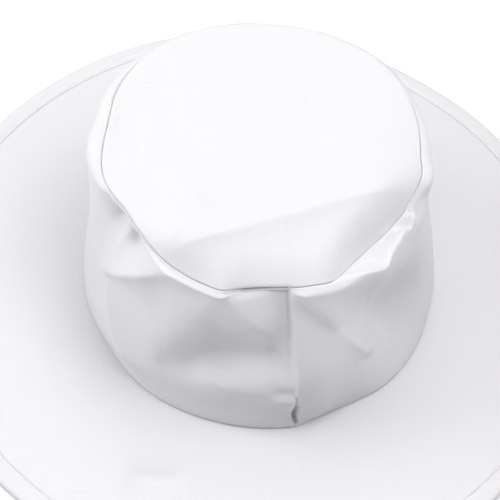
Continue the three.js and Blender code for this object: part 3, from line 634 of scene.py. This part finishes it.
def brim_middle(az, r):
    """Height of the middle of the brim's cloth."""
    edge = rim_radius(az) - BRIM_EDGE_INSET
    base = base_radius(az)
    share = (edge - r) / (edge - base)
    rise = base_height(az) - BRIM_HALF_THICKNESS - RIM_HEIGHT
    x = r * np.cos(np.radians(az))
    y = r * np.sin(np.radians(az))
    free = smooth(share, *BRIM_WAVES_BEGIN) * (1 - smooth(share, *BRIM_WAVES_END))
    curve = RIM_SLOPE_SHARE * share + (1 - RIM_SLOPE_SHARE) * share**2
    return RIM_HEIGHT + rise * curve + plan_folds(BRIM_FOLDS, x, y) * free


def joined(parts):
    """One section line from several pieces, each given as radii and heights."""
    return np.concatenate([r for r, _ in parts], 1), np.concatenate([z for _, z in parts], 1)


def brim_section(az):
    """The brim's cloth with its collar, thinner where the hem holds it."""
    a = az[:, None]
    base = base_radius(az)[:, None]
    rim = rim_radius(az)[:, None]
    hem = rim - HEM_WIDTH
    collar = base - CLOTH - COLLAR_GAP
    start = base - BRIM_UNDER_CROWN
    r = start + (hem - BRIM_STEP_START - start) * BRIM_STEPS
    middle = brim_middle(a, r)
    tail_r = np.concatenate([hem - BRIM_STEP_END, rim - BRIM_EDGE_INSET], 1)
    tail_z = brim_middle(a, tail_r)
    top = base_height(az)[:, None]
    parts = [
        (collar - COLLAR_THICKNESS, top + COLLAR_HEIGHT),
        (collar - COLLAR_THICKNESS, top - 2 * BRIM_HALF_THICKNESS),
        (r, middle - BRIM_HALF_THICKNESS),
        (tail_r, tail_z - BRIM_HALF_IN_HEM),
        (tail_r[:, ::-1], tail_z[:, ::-1] + BRIM_HALF_IN_HEM),
        (r[:, ::-1], middle[:, ::-1] + BRIM_HALF_THICKNESS),
        (collar + COLLAR_BEND_OUT, top + COLLAR_BEND_LOW),
        (collar, top + COLLAR_BEND_HIGH),
        (collar, top + COLLAR_HEIGHT),
    ]
    return joined(parts)


def hem_section(az):
    """The hem folded round the brim's edge, open to the inside, with its row of stitches."""
    a = az[:, None]
    rim = rim_radius(az)[:, None]
    start = rim - HEM_WIDTH
    near = BRIM_HALF_IN_HEM + HEM_POCKET_ROOM
    far = HEM_HALF_THICKNESS
    top_r = start + (HEM_WIDTH - HEM_EDGE_ROUNDING) * HEM_TOP_STEPS
    into = top_r - start
    fold_round = HEM_FOLD_ROUNDING * (1 - np.clip(into / HEM_FOLD_WIDTH, 0, 1)) ** 2
    off_stitches = (into - STITCH_INSET) / STITCH_SPREAD
    stitch = STITCH_SINK * np.exp(-(off_stitches**2))
    beads = np.cos(np.radians(a) * RIM_RADIUS / STITCH_PITCH * 2 * np.pi)
    stitch = stitch * (1 + STITCH_BEAD * beads)
    top_z = brim_middle(a, top_r) + far - fold_round - stitch
    turn = np.radians(HEM_EDGE_STEPS)
    middle = (brim_middle(a, rim - HEM_EDGE_ROUNDING) + far) / 2
    edge_r = rim - HEM_EDGE_ROUNDING + HEM_EDGE_ROUNDING * np.cos(turn)
    edge_z = middle + middle * np.sin(turn)
    flat_r = np.concatenate([rim - HEM_FLAT_INSET, rim - HEM_FLAT_INSET - HEM_FLAT_WIDTH], 1)
    zero = np.zeros_like(rim)
    inside = rim - HEM_POCKET_INSET
    low_start = brim_middle(a, start)
    parts = [
        (start, low_start - far),
        (flat_r[:, ::-1], np.concatenate([zero, zero], 1)),
        (edge_r[:, ::-1], edge_z[:, ::-1]),
        (top_r[:, ::-1], top_z[:, ::-1]),
        (start, low_start + near),
        (inside, RIM_HEIGHT + near + zero),
        (inside, RIM_HEIGHT - near + zero),
        (start, low_start - near),
    ]
    return joined(parts)


def crown_place(az, r, z):
    """Points of the crown, whose middle moves from the foot's centre to the top's."""
    share = (z - BASE_CENTRE[2]) / (TOP_CENTRE[2] - BASE_CENTRE[2])
    cx = BASE_CENTRE[0] + (TOP_CENTRE[0] - BASE_CENTRE[0]) * share
    cy = BASE_CENTRE[1] + (TOP_CENTRE[1] - BASE_CENTRE[1]) * share
    a = np.radians(az)[:, None]
    return np.stack([cx + r * np.cos(a), cy + r * np.sin(a), z], 2)


def brim_place(az, r, z):
    """Points of the brim, whose middle moves from the rim's centre to the crown's foot."""
    rim = rim_radius(az)[:, None]
    base = base_radius(az)[:, None]
    share = np.clip((rim - r) / (rim - base), 0, 1)
    a = np.radians(az)[:, None]
    x = BASE_CENTRE[0] * share + r * np.cos(a)
    y = BASE_CENTRE[1] * share + r * np.sin(a)
    return np.stack([x, y, z], 2)


def smooth_object(name, verts, faces):
    """A smooth-shaded object in the scene."""
    mesh = bpy.data.meshes.new(name)
    mesh.from_pydata(verts, [], faces)
    mesh.polygons.foreach_set("use_smooth", [True] * len(mesh.polygons))
    obj = bpy.data.objects.new(name, mesh)
    bpy.context.scene.collection.objects.link(obj)
    return obj


def solid(name, points, is_loop, uv_of):
    """A closed surface from one section of points at each azimuth."""
    turns, rows = points.shape[:2]
    verts = points.reshape(-1, 3) * MM
    index = np.arange(turns * rows).reshape(turns, rows)
    after = np.roll(index, -1, axis=0)
    strips = rows if is_loop else rows - 1
    j = np.arange(strips)
    k = (j + 1) % rows
    quads = np.stack([index[:, j], after[:, j], after[:, k], index[:, k]], 2).reshape(-1, 4)
    faces = quads.tolist()
    if not is_loop:
        faces.append(index[:, 0][::-1].tolist())
        faces.append(index[:, -1].tolist())
    obj = smooth_object(name, verts.tolist(), faces)
    mesh = obj.data
    uv = uv_of(points).reshape(-1, 2) * MM
    loops = np.empty(len(mesh.loops), int)
    mesh.loops.foreach_get("vertex_index", loops)
    loop_uv = uv[loops]
    # The strip that closes the round goes on past the end of the side band's pattern
    if uv_of is wrapped_uv:
        closing = np.arange(len(loops)) // (4 * strips) == turns - 1
        behind = loops // rows == 0
        loop_uv[closing & behind, 0] += 2 * math.pi * BASE_RADIUS * MM
    layer = mesh.uv_layers.new(name="cloth")
    layer.data.foreach_set("uv", loop_uv.ravel())
    return obj


def steps(count):
    """Azimuths all the way round."""
    return np.linspace(-180, 180, count, endpoint=False)


# The crown has more steps near its vertical seam
seam_az = SEAM_AZIMUTH + np.linspace(-3, 2.6, 36)
crown_az = np.unique(np.concatenate([steps(420), seam_az]).round(4))
brim_az = steps(400)
hem_az = steps(1440)


def plan_uv(points):
    """Pattern of a panel that is cut flat, seen from above."""
    return points[..., :2]


def wrapped_uv(points):
    """Pattern of the side band, unrolled round the crown."""
    around_foot = np.broadcast_to(np.radians(crown_az)[:, None] * BASE_RADIUS, points.shape[:2])
    return np.stack([around_foot, points[..., 2]], -1)


band_points = crown_place(crown_az, *band_section(crown_az))
tip_points = crown_place(crown_az, *tip_section(crown_az))
brim_points = brim_place(brim_az, *brim_section(brim_az))
hem_points = brim_place(hem_az, *hem_section(hem_az))

side_band = solid("side_band_cloth", band_points, True, wrapped_uv)
crown_tip = solid("crown_tip_cloth", tip_points, False, plan_uv)
brim = solid("brim_cloth", brim_points, True, plan_uv)
rim_hem = solid("rim_hem_cloth", hem_points, True, plan_uv)


def stitch_radius(az):
    return rim_radius(az) - HEM_WIDTH + STITCH_INSET


def stitch_height(az):
    return brim_middle(az, stitch_radius(az)) + HEM_HALF_THICKNESS - STITCH_SINK


def one_stitch(az):
    """Points of one short stitch, as rings of its sides from end to end."""
    radius = float(stitch_radius(az))
    lengthways = np.linspace(-1, 1, STITCH_RINGS)
    span = np.degrees(lengthways * STITCH_LENGTH / 2 / radius) + az
    taper = np.sqrt(np.clip(1 - lengthways**2 * STITCH_END_ROUNDING, 0, 1))
    body = STITCH_WIDTH / 2 * taper
    arch = STITCH_ARCH * (1 - lengthways**2) - STITCH_BURIED
    points = []
    for a, width, up in zip(span, body, arch):
        height = float(stitch_height(a)) + up
        for turn in np.radians(np.arange(STITCH_SIDES) * 360 / STITCH_SIDES):
            r = np.array([[radius + width * math.cos(turn)]])
            z = np.array([[height + width * math.sin(turn)]])
            points.append((brim_place(np.array([a]), r, z)[0, 0] * MM).tolist())
    return points


def stitch_faces(first):
    """Faces of the stitch whose points begin at first."""
    faces = []
    for ring in range(STITCH_RINGS - 1):
        for q in range(STITCH_SIDES):
            a = first + ring * STITCH_SIDES + q
            b = first + ring * STITCH_SIDES + (q + 1) % STITCH_SIDES
            faces.append((a, b, b + STITCH_SIDES, a + STITCH_SIDES))
    last = first + STITCH_SIDES * (STITCH_RINGS - 1)
    faces.append(tuple(range(first, first + STITCH_SIDES))[::-1])
    faces.append(tuple(range(last, last + STITCH_SIDES)))
    return faces


def stitch_ring(name):
    """Short thread stitches laid end to end round the hat's hem."""
    count = round(2 * math.pi * (RIM_RADIUS - HEM_WIDTH) / STITCH_PITCH)
    verts, faces = [], []
    for az in steps(count):
        faces += stitch_faces(len(verts))
        verts += one_stitch(az)
    return smooth_object(name, verts, faces)


hem_stitching = stitch_ring("hem_stitching")


# Materials, with sizes in metres. Slubs are the thick places of the yarns. A material's seed
# moves its noise by so many pattern shifts. Blender's wave texture turns by this many radians
# per unit at scale 1.
SLUB_WIDTH = 0.0009
SLUB_LENGTH = 0.016
SLUB_RANGE = (0.6, 1.4)
SLUB_SHADE = 0.985
CREASES_PER_METRE = 38.0
PATTERN_SHIFT = (0.37, 0.61)
WAVE_TURN_PER_UNIT = 20
CLOTH_YARN_PITCH = 0.0005
THREAD_YARN_PITCH = 0.0003
CLOTH_WHITE = (0.66, 0.655, 0.675)
THREAD_WHITE = (0.68, 0.675, 0.695)


class ClothNodes:
    """The shader nodes of one woven material, which all read the panel's flat pattern."""

    def __init__(self, material, seed):
        self.nodes = material.node_tree.nodes
        self.links = material.node_tree.links
        self.nodes.clear()
        self.shift = (seed * PATTERN_SHIFT[0], seed * PATTERN_SHIFT[1], 0)
        self.pattern = self.add("ShaderNodeUVMap", uv_map="cloth").outputs["UV"]

    def add(self, kind, **properties):
        node = self.nodes.new(kind)
        for key, value in properties.items():
            setattr(node, key, value)
        return node

    def noise(self, stretch, scale, detail):
        """Soft noise on the pattern, which is stretched along U and V first."""
        mapping = self.add("ShaderNodeMapping")
        mapping.inputs["Scale"].default_value = (*stretch, 1)
        mapping.inputs["Location"].default_value = self.shift
        self.links.new(self.pattern, mapping.inputs["Vector"])
        noise = self.add("ShaderNodeTexNoise")
        noise.inputs["Scale"].default_value = scale
        noise.inputs["Detail"].default_value = detail
        self.links.new(mapping.outputs["Vector"], noise.inputs["Vector"])
        return noise.outputs["Fac"]

    def yarns(self, direction, pitch):
        """Bands across one direction of the cloth."""
        wave = self.add("ShaderNodeTexWave", wave_type="BANDS", bands_direction=direction)
        wave.inputs["Scale"].default_value = 2 * math.pi / WAVE_TURN_PER_UNIT / pitch
        wave.inputs["Distortion"].default_value = 0.4
        wave.inputs["Detail"].default_value = 1.0
        wave.inputs["Detail Scale"].default_value = 0.3
        self.links.new(self.pattern, wave.inputs["Vector"])
        return wave.outputs["Fac"]

    def combined(self, operation, first, second):
        node = self.add("ShaderNodeMath", operation=operation)
        self.links.new(first, node.inputs[0])
        self.links.new(second, node.inputs[1])
        return node.outputs[0]

    def tinted(self, height, colour):
        """The cloth's colour, a shade darker where the height is low."""
        share = self.add("ShaderNodeMapRange")
        share.inputs["From Min"].default_value = SLUB_RANGE[0]
        share.inputs["From Max"].default_value = SLUB_RANGE[1]
        self.links.new(height, share.inputs["Value"])
        tint = self.add("ShaderNodeMix", data_type="RGBA")
        tint.inputs["A"].default_value = (*[c * SLUB_SHADE for c in colour], 1)
        tint.inputs["B"].default_value = (*colour, 1)
        self.links.new(share.outputs["Result"], tint.inputs["Factor"])
        return tint.outputs["Result"]

    def bump(self, height, distance, strength, normal=None):
        bump = self.add("ShaderNodeBump")
        bump.inputs["Distance"].default_value = distance
        bump.inputs["Strength"].default_value = strength
        self.links.new(height, bump.inputs["Height"])
        if normal is not None:
            self.links.new(normal, bump.inputs["Normal"])
        return bump.outputs["Normal"]


def cloth_material(name, colour, yarn_pitch, seed):
    """White plain-woven cloth: yarns, slubs, soft creases and slight unevenness."""
    material = bpy.data.materials.new(name)
    material.use_nodes = True
    cloth = ClothNodes(material, seed)
    out = cloth.add("ShaderNodeOutputMaterial")
    shader = cloth.add("ShaderNodeBsdfPrincipled")
    shader.inputs["Roughness"].default_value = 0.88
    shader.inputs["Specular IOR Level"].default_value = 0.25
    shader.inputs["Sheen Weight"].default_value = 0.12
    shader.inputs["Sheen Roughness"].default_value = 0.5

    weave = cloth.combined("MULTIPLY", cloth.yarns("X", yarn_pitch), cloth.yarns("Y", yarn_pitch))
    slubs_across = cloth.noise((1 / SLUB_WIDTH, 1 / SLUB_LENGTH), 1.0, 1.0)
    slubs_along = cloth.noise((1 / SLUB_LENGTH, 1 / SLUB_WIDTH), 1.0, 1.0)
    slubs = cloth.combined("ADD", slubs_across, slubs_along)
    creases = cloth.noise((1, 1), CREASES_PER_METRE, 3.0)

    normal = cloth.bump(creases, distance=0.0006, strength=0.6)
    normal = cloth.bump(slubs, distance=0.00006, strength=0.25, normal=normal)
    normal = cloth.bump(weave, distance=0.00008, strength=0.2, normal=normal)
    cloth.links.new(normal, shader.inputs["Normal"])
    cloth.links.new(cloth.tinted(slubs, colour), shader.inputs["Base Color"])
    cloth.links.new(shader.outputs["BSDF"], out.inputs["Surface"])
    return material


white_cloth = cloth_material("white_woven_cloth", CLOTH_WHITE, CLOTH_YARN_PITCH, 1.0)
thread = cloth_material("white_sewing_thread", THREAD_WHITE, THREAD_YARN_PITCH, 3.0)

for piece, material, nodes in (
    (side_band, white_cloth, ["side_band"]),
    (crown_tip, white_cloth, ["crown_tip"]),
    (brim, white_cloth, ["brim"]),
    (rim_hem, white_cloth, ["rim_hem"]),
    (hem_stitching, thread, []),
):
    piece.data.materials.append(material)
    if nodes:
        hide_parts(*nodes)
    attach(piece, "root")


# Floor, light and camera, in metres and watts
FLOOR_REACH = 40.0
FLOOR_GREY = 0.8
GLOW_START = 0.7
GLOW_FULL = 1.7

HAT_MIDDLE = (0, 0, 0.08)

# Square softboxes that point at the hat: name, place, side, power
SOFTBOXES = [
    ("overhead_softbox", (0, 0, 2.0), 2.6, 28.5),
    ("left_softbox", (-1.73, 0, 1.0), 1.2, 21.5),
    ("right_softbox", (1.73, 0, 1.0), 1.2, 8.5),
    ("key_softbox", (0.77, -0.54, 1.77), 0.8, 5.5),
    ("high_right_softbox", (0.52, 0, 1.93), 0.8, 12),
    ("front_left_softbox", (-1.33, -1.11, 1.0), 1.2, 5.5),
    ("back_softbox", (0, 0.94, 1.77), 0.8, 5.5),
]

EYE_DISTANCE = 1.35
EYE_ELEVATION = 56.64
EYE_AIM = (-0.0004, 0.0271, 0.0)
EYE_ROLL = 3.97
LENS_MM = 176.6
SENSOR_MM = 36.0


def floor_material():
    """Pale matt ground that glows far from the hat, where the softboxes don't reach."""
    material = bpy.data.materials.new("pale_floor")
    material.use_nodes = True
    nodes, links = material.node_tree.nodes, material.node_tree.links
    shader = nodes["Principled BSDF"]
    shader.inputs["Base Color"].default_value = (FLOOR_GREY, FLOOR_GREY, FLOOR_GREY, 1)
    shader.inputs["Roughness"].default_value = 0.9
    shader.inputs["Specular IOR Level"].default_value = 0.0
    shader.inputs["Emission Color"].default_value = (1, 1, 1, 1)
    place = nodes.new("ShaderNodeTexCoord")
    distance = nodes.new("ShaderNodeVectorMath")
    distance.operation = "LENGTH"
    links.new(place.outputs["Object"], distance.inputs[0])
    glow = nodes.new("ShaderNodeMapRange")
    glow.inputs["From Min"].default_value = GLOW_START
    glow.inputs["From Max"].default_value = GLOW_FULL
    links.new(distance.outputs["Value"], glow.inputs["Value"])
    links.new(glow.outputs["Result"], shader.inputs["Emission Strength"])
    return material


def add_floor():
    mesh = bpy.data.meshes.new("floor")
    corners = ((-1, -1), (1, -1), (1, 1), (-1, 1))
    places = [(x * FLOOR_REACH, y * FLOOR_REACH, 0) for x, y in corners]
    mesh.from_pydata(places, [], [(0, 1, 2, 3)])
    mesh.materials.append(floor_material())
    floor = bpy.data.objects.new("floor", mesh)
    bpy.context.scene.collection.objects.link(floor)


def add_softbox(name, place, side, power):
    data = bpy.data.lights.new(name, "AREA")
    data.shape = "RECTANGLE"
    data.size = side
    data.size_y = side
    data.energy = power
    light = bpy.data.objects.new(name, data)
    light.location = place
    toward = Vector(HAT_MIDDLE) - Vector(place)
    light.rotation_euler = toward.to_track_quat("-Z", "Y").to_euler()
    bpy.context.scene.collection.objects.link(light)


def add_world():
    """A dark world, since the softboxes and the ground give all the light."""
    world = bpy.data.worlds.new("studio")
    world.use_nodes = True
    world.node_tree.nodes["Background"].inputs["Color"].default_value = (1, 1, 1, 1)
    world.node_tree.nodes["Background"].inputs["Strength"].default_value = 0.0
    bpy.context.scene.world = world


def add_camera():
    data = bpy.data.cameras.new("camera")
    data.lens = LENS_MM
    data.sensor_width = SENSOR_MM
    camera = bpy.data.objects.new("camera", data)
    elevation = math.radians(EYE_ELEVATION)
    eye = Vector((0, -math.cos(elevation), math.sin(elevation))) * EYE_DISTANCE
    look = (Vector(EYE_AIM) - eye).to_track_quat("-Z", "Y").to_matrix().to_4x4()
    roll = Matrix.Rotation(math.radians(EYE_ROLL), 4, "Z")
    camera.matrix_world = Matrix.Translation(eye) @ look @ roll
    bpy.context.scene.collection.objects.link(camera)
    bpy.context.scene.camera = camera


add_floor()
for softbox in SOFTBOXES:
    add_softbox(*softbox)
add_world()
add_camera()
bpy.context.scene.view_settings.view_transform = "Standard"
bpy.context.scene.view_settings.look = "None"
